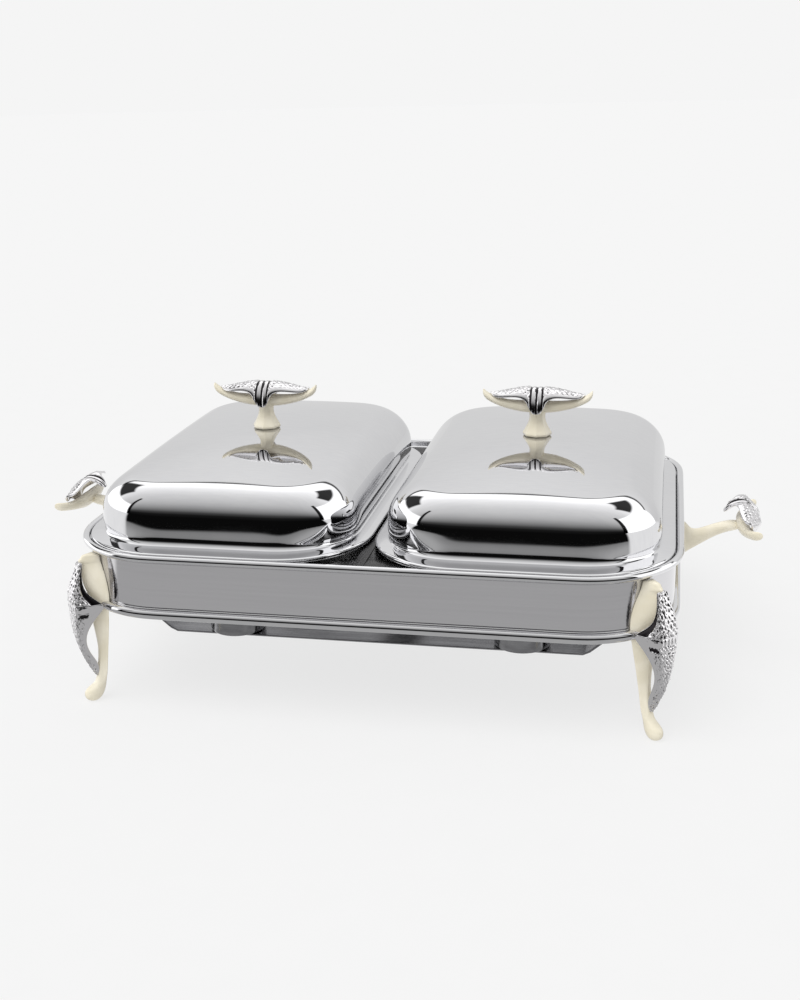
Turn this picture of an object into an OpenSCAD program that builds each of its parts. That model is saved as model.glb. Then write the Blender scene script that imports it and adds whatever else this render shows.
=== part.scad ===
// Rectangular food warmer: a banded frame on four cast corner legs carries two
// lift-out food pans side by side, each under its own domed lid, over two
// burner rails with open candle cups. The origin is on the floor, under the
// middle of the frame. +X runs along the long side and -Y is the front.

/* [Frame] */
// Length over the top rim
rim_l = 470; // [440:2:500]
// Width over the top rim
rim_w = 362; // [340:2:390]
// Corner radius of the top rim
rim_r = 76; // [70:1:84]
// How far the band stands in from the top rim
band_inset = 6; // [5:0.5:8]
// Height of the underside of the bottom rim above the floor
frame_z = 77; // [70:1:90]
// Height from the underside of the bottom rim to the top of the top rim
frame_h = 52; // [48:1:60]
// Thickness of the formed sheet
sheet = 1.2; // [0.8:0.1:1.6]

/* [Lids and pans] */
// Gap between the two lids at the middle
lid_gap = 2; // [1:0.5:4]
// Height of a lid without its knob
lid_h = 58; // [52:1:64]
// Rise of the lid's top from its shoulder to its middle
lid_crown = 11.5; // [8:0.5:13]
// Shoulder radius of the dome
dome_r = 22; // [16:1:28]
// How far the dome's wall stands in from the lid's edge
dome_inset = 16; // [14:0.5:20]
// Depth of a food pan
pan_depth = 41; // [32:1:44]

/* [Knobs and handles] */
// Length of the crossbar of a knob or a side handle
grip_l = 88; // [76:1:96]
// Height of the knob's ivory stem above the dome
stem_h = 23.5; // [20:0.5:30]
// How far a side handle's grip stands out from the band
handle_reach = 51; // [46:1:58]
// Outward lean of a side handle's grip
handle_lean = 38; // [25:1:50]

/* [Legs] */
// Radius of the ball foot
foot_r = 8.8; // [7:0.1:10]
// How far the silver bow stands out from the band at the waist
bow_out = 24; // [20:0.5:28]

/* [Burners] */
// Outer diameter of a burner cup
cup_d = 46.5; // [42:0.5:52]
// Height of a burner cup
cup_h = 22; // [18:1:26]
// Height of the rail's top face above the floor
rail_z = 44; // [38:1:50]
// Width of a burner rail
rail_w = 26; // [20:1:32]
// Distance of each rail from the middle
rail_y = 105; // [95:1:112]
// Half of the rail's level stretch
rail_half = 164; // [155:1:170]

/* [Hidden] */
$fn = 64;
eps = 0.01;

// Frame heights and outlines
half_l = rim_l / 2;
half_w = rim_w / 2;
frame_top = frame_z + frame_h;
bead_r = 3;                                   // top rim's rolled bead
bead_z = frame_top - bead_r;
foot_bead_r = 4;                              // bottom rim's rolled bead
foot_bead_z = frame_z + foot_bead_r;
ledge_z = frame_top - 4.2;                    // pans hang on this ledge
ledge_w = 15;
band_r = rim_r - band_inset;
band_top = ledge_z - sheet;
band_base = foot_bead_z + foot_bead_r - 0.1;
corner_x = half_l - rim_r;
corner_y = half_w - rim_r;

// Lids and pans
lid_edge = bead_r * 2 + 0.4;                  // from the rim's outer edge to the lid
lid_x = (half_l - lid_edge + lid_gap / 2) / 2;
lid_half_l = (half_l - lid_edge - lid_gap / 2) / 2;
lid_half_w = half_w - lid_edge;
lid_r = rim_r - lid_edge;
pan_top = ledge_z + sheet;
lid_top = pan_top + lid_h;
pan_wall_inset = 12;
middle_r = 20;                                // corner radius of a pan's flat middle
crown_r = 2;                                  // corner radius of a lid's middle
lap = 0.5;

// Fasteners
screw_r = 2;
screw_hole_r = 2.15;
head_r = 3.8;
head_h = 2.4;
leg_screw_z = [94, 109];
handle_screw_z = [94, 106];

// Burners
tab_z = foot_bead_z - 0.8;                    // underside of the bottom rim's inner flange
tab_x = [rail_half + 43, half_l - 13];        // the rail's fixing tab, from and to
rail_screw_x = (tab_x[0] + tab_x[1]) / 2;

// ---- helpers ----

// Sweeps a 2D section round a rounded rectangle. The section's x is 0 at the
// outer edge and negative inwards, and its y is the height.
module rounded_sweep(a, b, r) {
    for (c = [[a - r, b - r, 0], [r - a, b - r, 90], [r - a, r - b, 180], [a - r, r - b, 270]])
        translate([c[0], c[1], 0]) rotate(c[2])
            rotate_extrude(angle = 90) translate([r, 0]) children();
    for (s = [[a - r, b - r, 0], [b - r, a - r, 90], [a - r, b - r, 180], [b - r, a - r, 270]])
        rotate(s[2]) translate([s[0], s[1], 0]) rotate([90, 0, 0])
            linear_extrude(2 * s[1]) translate([r, 0]) children();
}

// Points of an arc about a centre, from one angle to another
function arc(cx, cy, r, a0, a1, n) =
    [for (i = [0:n]) [cx + r * cos(a0 + (a1 - a0) * i / n), cy + r * sin(a0 + (a1 - a0) * i / n)]];

// A path moved sideways by t, to its right as it runs
function unit(v) = v / norm(v);
function side_step(path, t) = let (n = len(path)) [for (i = [0:n - 1])
    let (d = unit(path[min(i + 1, n - 1)] - path[max(i - 1, 0)])) path[i] + t * [d[1], -d[0]]];
function reversed(list) = [for (i = [len(list) - 1:-1:0]) list[i]];

// Skins a solid over a row of sections in either direction. Each section has
// the same even number of points, and its second half mirrors its first.
function area_vector(s) = [for (p = s) 1] * [for (i = [0:len(s) - 1]) cross(s[i] - s[0], s[(i + 1) % len(s)] - s[0])];
module loft(sections) {
    n = len(sections[0]);
    m = len(sections);
    forward = area_vector(sections[0]) * (sections[1][0] - sections[0][0]) > 0;
    rows = forward ? sections : reversed(sections);
    polyhedron(
        points = [for (s = rows) each s],
        faces = concat(
            [for (i = [0:n / 2 - 2]) each [[i, i + 1, n - 2 - i], [i, n - 2 - i, n - 1 - i]]],
            [for (i = [0:n / 2 - 2]) each let (e = (m - 1) * n)
                [[e + n - 2 - i, e + i + 1, e + i], [e + n - 1 - i, e + n - 2 - i, e + i]]],
            [for (k = [0:m - 2]) for (i = [0:n - 1]) let (j = (i + 1) % n)
                each [[k * n + i, (k + 1) * n + i, (k + 1) * n + j], [k * n + i, (k + 1) * n + j, k * n + j]]]));
}

// An oval section in the plane of two directions
function oval(c, across, up, rx, ry, n = 12) =
    [for (i = [0:n - 1]) c + across * rx * cos(360 * i / n) + up * ry * sin(360 * i / n)];

module at_corner(sx, sy) {
    translate([sx * corner_x, sy * corner_y, 0]) rotate(atan2(sy, sx)) children();
}

// A screw along +Z with its head below the origin
module screw(length) {
    translate([0, 0, -head_h]) cylinder(r1 = head_r - 1.2, r2 = head_r, h = head_h, $fn = 32);
    cylinder(r = screw_r, h = length, $fn = 32);
}

// ---- frame ----

module frame_band() color("silver") difference() {
    rounded_sweep(half_l, half_w, rim_r)
        translate([-band_inset - sheet, band_base]) square([sheet, band_top - band_base]);
    for (sx = [-1, 1], sy = [-1, 1], z = leg_screw_z)
        at_corner(sx, sy) translate([band_r - 5, 0, z]) rotate([0, 90, 0])
            cylinder(r = screw_hole_r, h = 10);
    for (sx = [-1, 1], z = handle_screw_z)
        translate([sx * (half_l - band_inset), 0, z]) rotate([0, 90, 0])
            cylinder(r = screw_hole_r, h = 10, center = true);
}

module top_rim() color("whitesmoke")
    rounded_sweep(half_l, half_w, rim_r) union() {
        translate([-bead_r, bead_z]) circle(r = bead_r);
        translate([-ledge_w, ledge_z - sheet]) square([ledge_w - bead_r, sheet]);
    }

module bottom_rim() color("whitesmoke") difference() {
    rounded_sweep(half_l - 1, half_w - 1, rim_r - 1) union() {
        translate([-foot_bead_r, foot_bead_z]) circle(r = foot_bead_r);
        translate([1 - band_inset - sheet, foot_bead_z]) square([sheet, band_base - foot_bead_z]);
        translate([-24, tab_z]) square([24 - foot_bead_r, sheet]);
    }
    rail_fixings() cylinder(r = screw_hole_r, h = 20, center = true);
}

// A bar on edge between the pans, let in under the top rim's ledge at its ends
module centre_divider() color("silver") {
    bar_w = 8;
    bar_h = 13;
    band_in = half_w - band_inset - sheet;
    translate([-bar_w / 2, -half_w + ledge_w, ledge_z - bar_h])
        cube([bar_w, 2 * (half_w - ledge_w), bar_h]);
    for (s = [-1, 1])
        translate([-bar_w / 2, s > 0 ? half_w - ledge_w - eps : -band_in, ledge_z - bar_h])
            cube([bar_w, band_in - half_w + ledge_w + eps, bar_h - sheet]);
}

// ---- legs: radial distance p from the corner's centre, t across ----

// Ivory core: height, inner p, outer p, half width inside, half width outside
core_rows = [
    [22, 72, 79.4, 4.6, 2.6], [30, 71, 77.4, 5, 2], [40, 70.4, 76, 6.4, 1.8], [50, 69.8, 76.6, 8, 1.8],
    [60, 69, 78, 9.8, 2], [68, 68.4, 78.8, 11.6, 2.4], [75, 67.6, 78.9, 13.2, 2.8], [81, 67.2, 78.8, 14.2, 3],
    [87, 67, 79.8, 14.4, 2.4], [93, 67, 82, 14, 2], [99, 67, 83.8, 13.2, 1.6], [106, 67.4, 84.4, 11, 1.6],
    [112, 68, 83.6, 8, 1.8], [117, 68.6, 86.4, 5.6, 2.4], [121.8, 69, 85, 4.8, 2.4]];
function core_section(r) = let (z = r[0], pm = r[1] + 0.4 * (r[2] - r[1]), tm = r[3] * 0.92)
    [[r[1], r[3], z], [pm, tm, z], [r[2], r[4], z], [r[2], -r[4], z], [pm, -tm, z], [r[1], -r[3], z]];

module leg_core(sx, sy) color("ivory") at_corner(sx, sy) difference() {
    union() {
        loft([for (r = core_rows) core_section(r)]);
        loft([for (s = [[8, 80.8, 6.4], [14, 78.4, 5], [19, 76.6, 4.6], [24, 75.6, 4.4]])
            oval([s[1], 0, s[0]], [0, 1, 0], [1, 0, 0], s[2], s[2])]);
        difference() {
            translate([81.4, 0, foot_r - 0.8]) sphere(r = foot_r, $fn = 32);
            translate([60, -20, -20]) cube([40, 40, 20]);
        }
    }
    cylinder(r = band_r, h = 200);
    rotate_extrude(angle = 360) translate([rim_r - 1 - foot_bead_r, foot_bead_z])
        circle(r = foot_bead_r);
    for (z = leg_screw_z)
        translate([band_r - 5, 0, z]) rotate([0, 90, 0]) cylinder(r = screw_r, h = 13);
}

// Silver bow: outer p, height, half width, depth of its spine, half width of its spine
bow_rows = [
    [81.6, 19, 2.6, 2.8, 1.6], [84, 27, 3.6, 3, 2.4], [88, 36, 4.2, 3, 3], [91.6, 46, 4.8, 3, 3.4],
    [93.8, 56, 5.8, 3.4, 4], [94.6, 66, 7, 4.6, 4.4], [94.6, 73, 8, 8, 4.6], [94.5, 78, 8.6, 15.2, 4.4],
    [94.4, 82, 8.8, 15.6, 4.4], [94, 87, 8.4, 9, 4.6], [92.8, 93, 7.6, 4.6, 4.4], [91, 100, 6.4, 3, 4],
    [88.2, 107, 5.2, 3, 3.4], [85.4, 112.6, 4.6, 2.8, 3]];
bow_shift = bow_out - 24;
strap_t = 2.4;
function bow_ring(r, d) = let (
    half = [for (q = [[0, 0.55 * r[2]], [strap_t * 0.4, r[2]], [strap_t, 0.85 * r[2]], [r[3], r[4]]])
        [r[0] + bow_shift - d[1] * q[0], q[1], r[1] + d[0] * q[0]]])
    concat(half, [for (q = reversed(half)) [q[0], -q[1], q[2]]]);

module leg_leaf(sx, sy) color("gainsboro") at_corner(sx, sy)
    loft([for (i = [0:len(bow_rows) - 1])
        let (a = bow_rows[max(i - 1, 0)], b = bow_rows[min(i + 1, len(bow_rows) - 1)])
        bow_ring(bow_rows[i], unit([b[0] - a[0], b[1] - a[1]]))]);

module leg_screws() color("gray")
    for (sx = [-1, 1], sy = [-1, 1], z = leg_screw_z)
        at_corner(sx, sy) translate([band_r - sheet - 0.35, 0, z]) rotate([0, 90, 0]) screw(8);

// ---- grips of the knobs and side handles ----
// In the grip's own frame the crossbar runs along Y and its tips curl up Z.

// Ivory crossbar: distance along, height, half width across, half height
bar_rows = [[0, 0, 7, 5.4], [8, 0.2, 7.6, 5.2], [16, 0.6, 6.6, 4.6], [24, 1.6, 5, 4], [31, 3.4, 4.2, 3.5],
    [37, 6, 3.6, 3], [41, 8.6, 3, 2.5], [43.4, 11, 1.6, 1.4]];
bar_scale = grip_l / 88;
function bar_section(r, s) = oval([0, s * r[0] * bar_scale, r[1]], [1, 0, 0], [0, 0, 1], r[2], r[3]);

module grip_bar() loft(concat(
    [for (i = [len(bar_rows) - 1:-1:1]) bar_section(bar_rows[i], -1)],
    [for (r = bar_rows) bar_section(r, 1)]));

// Silver leaf arched over the crossbar: distance along, top height, half width, drop of its edges
leaf_rows = [[0, 17, 15, 19], [5, 16.8, 15.4, 17], [12, 15.4, 13.6, 10], [20, 13.2, 11, 6.4], [28, 11.4, 8.2, 5],
    [34, 11.2, 5.6, 3.4], [37.5, 12, 3.4, 2.2]];
leaf_t = 1.8;
leaf_n = 8;
function leaf_section(r, s) = let (y = s * r[0] * bar_scale) concat(
    [for (i = [0:leaf_n]) let (a = 180 * i / leaf_n) [r[2] * cos(a), y, r[1] - r[3] * (1 - sin(a))]],
    [for (i = [leaf_n:-1:0]) let (a = 180 * i / leaf_n)
        [(r[2] - leaf_t) * cos(a), y, r[1] - leaf_t - (r[3] - leaf_t) * (1 - sin(a))]]);

module grip_leaf() loft(concat(
    [for (i = [len(leaf_rows) - 1:-1:1]) leaf_section(leaf_rows[i], -1)],
    [for (r = leaf_rows) leaf_section(r, 1)]));

module at_knob(s) {
    translate([s * lid_x, 0, lid_top + stem_h]) rotate(90) children();
}
module at_handle(s) {
    rotate(s > 0 ? 0 : 180) translate([half_l - band_inset + handle_reach, 0, 118])
        rotate([0, handle_lean, 0]) children();
}

// Stem of a knob: height below the crossbar as a share of the stem, and radius
stem_rows = [[1, 11], [0.9, 11.5], [0.7, 8.8], [0.5, 6.4], [0.36, 6.2], [0.2, 7.2], [0, 6.4]];

module knob_stem(s) color("ivory") difference() {
    at_knob(s) union() {
        grip_bar();
        loft([for (r = stem_rows) oval([0, 0, -stem_h * r[0]], [1, 0, 0], [0, 1, 0], r[1], r[1])]);
    }
    translate([s * lid_x, 0, lid_top - 5]) cylinder(r = screw_r, h = 20);
}

module knob_leaf(s) color("gainsboro") at_knob(s) grip_leaf();

module knob_screw(s) color("gray")
    translate([s * lid_x, 0, lid_top - sheet - 1]) screw(14);

module knob_washer(s) color("gray") translate([s * lid_x, 0, lid_top - sheet - 1]) difference() {
    cylinder(r = 6.5, h = 1);
    translate([0, 0, -1]) cylinder(r = screw_hole_r, h = 3);
}

// Arm of a side handle: distance out from the band, height, half width, half thickness
arm_rows = [[0, 98.8, 7, 12.8], [2.5, 98.8, 7, 12.4], [7, 98.9, 5.6, 10], [14, 100.4, 5, 7.4], [23, 104.2, 4.8, 5.6],
    [33, 108.8, 5, 5], [42, 112, 6, 5], [50, 114.4, 7.4, 5.2]];

module handle_arm(s) color("ivory") difference() {
    union() {
        at_handle(s) grip_bar();
        rotate(s > 0 ? 0 : 180) translate([half_l - band_inset, 0, 0])
            loft([for (i = [0:len(arm_rows) - 1])
                let (r = arm_rows[i], lean = min(i, 4) * 9)
                oval([r[0] * handle_reach / 51, 0, r[1]], [0, 1, 0], [-sin(lean), 0, cos(lean)], r[2], r[3])]);
    }
    for (z = handle_screw_z)
        translate([s * (half_l - band_inset), 0, z]) rotate([0, 90, 0])
            cylinder(r = screw_r, h = 14, center = true);
}

module handle_leaf(s) color("gainsboro") at_handle(s) grip_leaf();

module handle_screws() color("gray")
    for (s = [-1, 1], z = handle_screw_z)
        translate([s * (half_l - band_inset - sheet), 0, z]) rotate([0, 90 * s, 0]) screw(7.5);

// ---- pans and lids ----

// Food pan: from the flange's edge down the wall to the middle of the floor
pan_path = concat(
    [[-0.4, 0], [-pan_wall_inset + 2, 0]],
    arc(-pan_wall_inset + 2, -2, 2, 90, 175, 4),
    arc(-pan_wall_inset - 12, -pan_depth + 10, 10, -4, -90, 8),
    [[middle_r - lid_r, -pan_depth]]);

module food_pan(s) color("silver") translate([s * lid_x, 0, pan_top]) {
    rounded_sweep(lid_half_l, lid_half_w, lid_r)
        polygon(concat(pan_path, reversed(side_step(pan_path, -sheet))));
    flat_middle(-pan_depth - sheet);
}

// The flat middle of a pan, lapped into the sweep's inner edge
module flat_middle(z) translate([0, 0, z]) linear_extrude(sheet) {
    x = lid_half_l - lid_r;
    y = lid_half_w - lid_r;
    r = middle_r + lap;
    square([2 * x, 2 * (y + r)], center = true);
    square([2 * (x + r), 2 * y], center = true);
    for (sx = [-1, 1], sy = [-1, 1]) translate([sx * x, sy * y]) circle(r = r);
}

// A lid's crown: height at a distance in from the lid's edge, level in the middle
crown_from = dome_inset + dome_r * (1 - cos(72));
crown_level = 102;
crown_at = [38, 45, 52.5, 60];
crown_knots = concat([crown_from], crown_at, [76, 85, 94, crown_level, crown_level + 40]);
crown_rise = lid_crown + dome_r * (1 - sin(72));
function crown_z(d) = lookup(d, [for (k = crown_knots)
    [k, lid_h - crown_rise * pow(max(0, 1 - (k - crown_from) / (crown_level - crown_from)), 2)]]);

// One half of a crown's shape: the rise from both long edges, or from both ends
module crown_hump(half, grow) {
    side = [for (d = [lid_r - crown_r - lap - grow, 76, 85, 94, crown_level]) [half - d, crown_z(d)]];
    polygon(concat([[side[0][0], lid_h - 20]], side, [for (p = reversed(side)) [-p[0], p[1]]],
        [[-side[0][0], lid_h - 20]]));
}
module crown_solid(grow) intersection() {
    rotate([90, 0, 0]) linear_extrude(300, center = true) crown_hump(lid_half_l, grow);
    rotate([90, 0, 90]) linear_extrude(300, center = true) crown_hump(lid_half_w, grow);
}

// Lid: rolled edge, sloping flange, cove, leaning wall, shoulder and crown
cove_r = 5;
lid_path = concat(
    [[-1, 0], [-0.2, 0.6], [0, 1.5], [-0.5, 2.5], [-1.6, 3], [-8, 4]],
    arc(-dome_inset + 1.8 + cove_r, 4.6 + cove_r, cove_r, 264, 186, 5),
    arc(-dome_inset - dome_r, lid_h - lid_crown - dome_r, dome_r, 4, 72, 9),
    [for (d = concat(crown_at, [lid_r - crown_r])) [-d, crown_z(d)]]);

module lid(s) color("whitesmoke") difference() {
    translate([s * lid_x, 0, pan_top]) {
        rounded_sweep(lid_half_l, lid_half_w, lid_r)
            polygon(concat(lid_path, reversed(side_step(lid_path, -sheet))));
        difference() {
            crown_solid(0);
            translate([0, 0, -sheet]) crown_solid(2);
        }
    }
    translate([s * lid_x, 0, lid_top - 5]) cylinder(r = screw_hole_r, h = 10);
}

// ---- burners ----

// A flat bar bent up at both ends to the bottom rim's inner flange
module burner_rail(s) color("silver") difference() {
    translate([0, s * rail_y + rail_w / 2, 0]) rotate([90, 0, 0]) linear_extrude(rail_w) {
        z = rail_z;
        rise = [[rail_half, z], [tab_x[0], tab_z]];
        path = concat([[-tab_x[1], tab_z], [-tab_x[0], tab_z], [-rail_half, z]], rise, [[tab_x[1], tab_z]]);
        polygon(concat(path, [for (i = [len(path) - 1:-1:0]) path[i] - [0, 1.5]]));
    }
    for (sx = [-1, 1]) {
        translate([sx * lid_x, s * rail_y, 0]) cylinder(r = screw_hole_r, h = 100);
        translate([sx * rail_screw_x, s * rail_y, 0]) cylinder(r = screw_hole_r, h = 100);
    }
}

module burner_cup(sx, sy) color("silver") translate([sx * lid_x, sy * rail_y, rail_z]) difference() {
    rotate_extrude() union() {
        polygon([[0, 0], [cup_d / 2 - 2.5, 0], [cup_d / 2 - 1, 1.5], [cup_d / 2 - 1, cup_h - 1],
            [cup_d / 2 - 2, cup_h - 1], [cup_d / 2 - 2, 1.8], [cup_d / 2 - 2.8, 1], [0, 1]]);
        translate([cup_d / 2 - 1.2, cup_h - 1.2]) circle(r = 1.2, $fn = 24);
    }
    cylinder(r = screw_hole_r, h = 10, center = true);
}

module cup_rivets() color("gray")
    for (sx = [-1, 1], sy = [-1, 1]) translate([sx * lid_x, sy * rail_y, rail_z - 1.5]) {
        translate([0, 0, -1]) cylinder(r = 3.5, h = 1);
        cylinder(r = screw_r, h = 2.5);
        translate([0, 0, 2.5]) cylinder(r1 = 3.5, r2 = 2.5, h = 1);
    }

module rail_fixings() for (sx = [-1, 1], sy = [-1, 1])
    translate([sx * rail_screw_x, sy * rail_y, tab_z]) children();

module rail_screws() color("gray") rail_fixings() translate([0, 0, -1.5]) screw(8);

module rail_nuts() color("gray") rail_fixings() translate([0, 0, sheet]) difference() {
    cylinder(r = 4, h = 3.2, $fn = 6);
    translate([0, 0, -1]) cylinder(r = screw_r, h = 6);
}

frame_band();
top_rim();
bottom_rim();
centre_divider();
leg_core(-1, -1);  // leg_core_front_left
leg_core(1, -1);  // leg_core_front_right
leg_core(-1, 1);  // leg_core_back_left
leg_core(1, 1);  // leg_core_back_right
leg_leaf(-1, -1);  // leg_leaf_front_left
leg_leaf(1, -1);  // leg_leaf_front_right
leg_leaf(-1, 1);  // leg_leaf_back_left
leg_leaf(1, 1);  // leg_leaf_back_right
leg_screws();
handle_arm(-1);  // handle_arm_left
handle_arm(1);  // handle_arm_right
handle_leaf(-1);  // handle_leaf_left
handle_leaf(1);  // handle_leaf_right
handle_screws();
food_pan(-1);  // food_pan_left
food_pan(1);  // food_pan_right
lid(-1);  // lid_left
lid(1);  // lid_right
knob_stem(-1);  // knob_stem_left
knob_stem(1);  // knob_stem_right
knob_leaf(-1);  // knob_leaf_left
knob_leaf(1);  // knob_leaf_right
knob_screw(-1);  // knob_screw_left
knob_screw(1);  // knob_screw_right
knob_washer(-1);  // knob_washer_left
knob_washer(1);  // knob_washer_right
burner_rail(-1);  // burner_rail_front
burner_rail(1);  // burner_rail_back
burner_cup(-1, -1);  // burner_cup_front_left
burner_cup(1, -1);  // burner_cup_front_right
burner_cup(-1, 1);  // burner_cup_back_left
burner_cup(1, 1);  // burner_cup_back_right
cup_rivets();
rail_screws();
rail_nuts();
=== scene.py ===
import math
import bmesh
import bpy
from mathutils import Matrix, Vector, noise


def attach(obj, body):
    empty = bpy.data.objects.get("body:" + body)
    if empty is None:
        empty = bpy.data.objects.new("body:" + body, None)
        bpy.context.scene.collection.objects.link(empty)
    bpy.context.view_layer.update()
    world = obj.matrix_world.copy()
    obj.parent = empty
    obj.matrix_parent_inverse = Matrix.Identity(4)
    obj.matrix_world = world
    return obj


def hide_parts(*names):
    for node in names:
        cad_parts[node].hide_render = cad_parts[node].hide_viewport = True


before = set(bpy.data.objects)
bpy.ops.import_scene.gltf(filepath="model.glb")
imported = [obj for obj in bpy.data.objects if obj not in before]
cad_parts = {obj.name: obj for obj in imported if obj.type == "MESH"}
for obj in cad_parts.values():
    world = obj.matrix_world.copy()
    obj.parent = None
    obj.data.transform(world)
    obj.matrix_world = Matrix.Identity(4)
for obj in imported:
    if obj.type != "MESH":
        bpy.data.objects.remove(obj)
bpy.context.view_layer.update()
mm = 0.001
print("frame loaded:", len(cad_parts), "parts")


# hand tools

def deselectAll():
    if bpy.context.object and bpy.context.object.mode != "OBJECT":
        bpy.ops.object.mode_set(mode="OBJECT")
    bpy.ops.object.select_all(action="DESELECT")


def startRing(name, points):
    # a circle of edges, put on a section's points, left open for editing
    deselectAll()
    bpy.ops.mesh.primitive_circle_add(vertices=len(points), radius=0.01, fill_type="NOTHING")
    piece = bpy.context.object
    piece.name = name
    piece.data.name = name
    bpy.ops.object.mode_set(mode="EDIT")
    mesh = bmesh.from_edit_mesh(piece.data)
    mesh.verts.ensure_lookup_table()
    for vert, point in zip(mesh.verts, points):
        vert.co = Vector(point)
    bmesh.update_edit_mesh(piece.data)
    bpy.ops.mesh.select_all(action="SELECT")
    return piece


def tidyMesh():
    # doubles merged, then all faces turned outwards
    bpy.ops.mesh.select_all(action="SELECT")
    bpy.ops.mesh.remove_doubles(threshold=0.000002)
    bpy.ops.mesh.normals_make_consistent(inside=False)
    bpy.ops.object.mode_set(mode="OBJECT")


def skinRings(name, rings, smooth=2):
    # each ring is extruded from the last one and put in its place; the ends are filled
    piece = startRing(name, rings[0])
    lastRing = [Vector(point) for point in rings[0]]
    for ring in rings[1:]:
        bpy.ops.mesh.extrude_region_move(TRANSFORM_OT_translate={"value": (0, 0, 0)})
        mesh = bmesh.from_edit_mesh(piece.data)
        chosen = [vert for vert in mesh.verts if vert.select]
        places = {}
        for index, point in enumerate(lastRing):
            places[tuple(round(value, 6) for value in point)] = index
        for vert in chosen:
            vert.co = Vector(ring[places[tuple(round(value, 6) for value in vert.co)]])
        bmesh.update_edit_mesh(piece.data)
        lastRing = [Vector(point) for point in ring]
    bpy.ops.mesh.select_all(action="SELECT")
    bpy.ops.mesh.fill_holes(sides=0)
    tidyMesh()
    if smooth:
        addModifier(piece, "SUBSURF", levels=smooth, render_levels=smooth)
    return piece


def addModifier(piece, kind, **settings):
    # a modifier is added and applied at once
    deselectAll()
    piece.select_set(True)
    bpy.context.view_layer.objects.active = piece
    modifier = piece.modifiers.new(kind.lower(), kind)
    for key, value in settings.items():
        setattr(modifier, key, value)
    bpy.ops.object.modifier_apply(modifier=modifier.name)


def smoothShade(piece, angle=None):
    deselectAll()
    piece.select_set(True)
    bpy.context.view_layer.objects.active = piece
    if angle is None:
        bpy.ops.object.shade_smooth()
    else:
        bpy.ops.object.shade_smooth_by_angle(angle=math.radians(angle))


def arcPoints(centreU, centreZ, radius, fromAngle, toAngle, steps):
    points = []
    for step in range(steps + 1):
        angle = math.radians(fromAngle + (toAngle - fromAngle) * step / steps)
        points.append((centreU + radius * math.cos(angle), centreZ + radius * math.sin(angle)))
    return points


def sweepOutline(name, section, half, cornerRadius, cornerSteps, sideSteps, closedSection):
    # the section starts on the front side, runs along each side and is spun round each corner
    cornerX = half[0] - cornerRadius
    cornerY = half[1] - cornerRadius
    points = [(-cornerX * mm, -(half[1] + u) * mm, z * mm) for u, z in section]
    piece = startRing(name, points)
    if not closedSection:
        bpy.ops.mesh.select_mode(type="EDGE")
        bpy.ops.mesh.select_all(action="DESELECT")
        mesh = bmesh.from_edit_mesh(piece.data)
        mesh.verts.ensure_lookup_table()
        ends = {mesh.verts[0], mesh.verts[len(section) - 1]}
        for edge in mesh.edges:
            if set(edge.verts) == ends:
                edge.select = True
        bmesh.update_edit_mesh(piece.data)
        bpy.ops.mesh.delete(type="EDGE")
        bpy.ops.mesh.select_mode(type="VERT")
        bpy.ops.mesh.select_all(action="SELECT")
    sides = [((1, 0), (1, -1), sideSteps[0], 2 * cornerX), ((0, 1), (1, 1), sideSteps[1], 2 * cornerY),
             ((-1, 0), (-1, 1), sideSteps[0], 2 * cornerX), ((0, -1), (-1, -1), sideSteps[1], 2 * cornerY)]
    for way, corner, steps, length in sides:
        move = (way[0] * length / steps * mm, way[1] * length / steps * mm, 0)
        for step in range(steps):
            bpy.ops.mesh.extrude_region_move(TRANSFORM_OT_translate={"value": move})
        centre = (corner[0] * cornerX * mm, corner[1] * cornerY * mm, 0)
        bpy.ops.mesh.spin(steps=cornerSteps, angle=math.radians(-90), center=centre, axis=(0, 0, 1))
    bpy.ops.mesh.select_all(action="SELECT")
    bpy.ops.mesh.remove_doubles(threshold=0.000002)
    return piece


def copyPiece(master, name, matrix):
    # a copy with its own mesh, moved in its mesh so that its object stays at the origin
    piece = master.copy()
    piece.data = master.data.copy()
    piece.name = name
    piece.data.name = name
    bpy.context.scene.collection.objects.link(piece)
    piece.data.transform(matrix)
    if matrix.determinant() < 0:
        piece.data.flip_normals()
    return piece


def dropPiece(master):
    bpy.data.objects.remove(master)


def finishPiece(piece, body, slot, material, *nodes):
    piece.data.materials.clear()
    piece.data.materials.append(material)
    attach(piece, body)
    if nodes:
        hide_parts(*nodes)
    return piece


# shader maths

class Wire:
    # a socket that can be used in sums
    def __init__(self, board, socket):
        self.board = board
        self.socket = socket

    def math(self, operation, *others):
        return self.board.node("ShaderNodeMath", {"operation": operation}, self, *others)

    def __add__(self, other):
        return self.math("ADD", other)

    def __radd__(self, other):
        return self.math("ADD", other)

    def __sub__(self, other):
        return self.math("SUBTRACT", other)

    def __rsub__(self, other):
        return self.board.node("ShaderNodeMath", {"operation": "SUBTRACT"}, other, self)

    def __mul__(self, other):
        return self.math("MULTIPLY", other)

    def __rmul__(self, other):
        return self.math("MULTIPLY", other)

    def __truediv__(self, other):
        return self.math("DIVIDE", other)

    def __rtruediv__(self, other):
        return self.board.node("ShaderNodeMath", {"operation": "DIVIDE"}, other, self)

    def __pow__(self, other):
        return self.math("POWER", other)

    def __neg__(self):
        return self.math("MULTIPLY", -1.0)

    def __abs__(self):
        return self.math("ABSOLUTE")

    def lesser(self, other):
        return self.math("MINIMUM", other)

    def greater(self, other):
        return self.math("MAXIMUM", other)

    def step(self, low, high):
        # 0 below low, 1 above high, eased between
        return self.board.node("ShaderNodeMapRange", {"interpolation_type": "SMOOTHSTEP"}, self, low, high,
                               0.0, 1.0)

    def window(self, low, high, soft):
        return self.step(low - soft, low + soft) * (1.0 - self.step(high - soft, high + soft))


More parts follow.
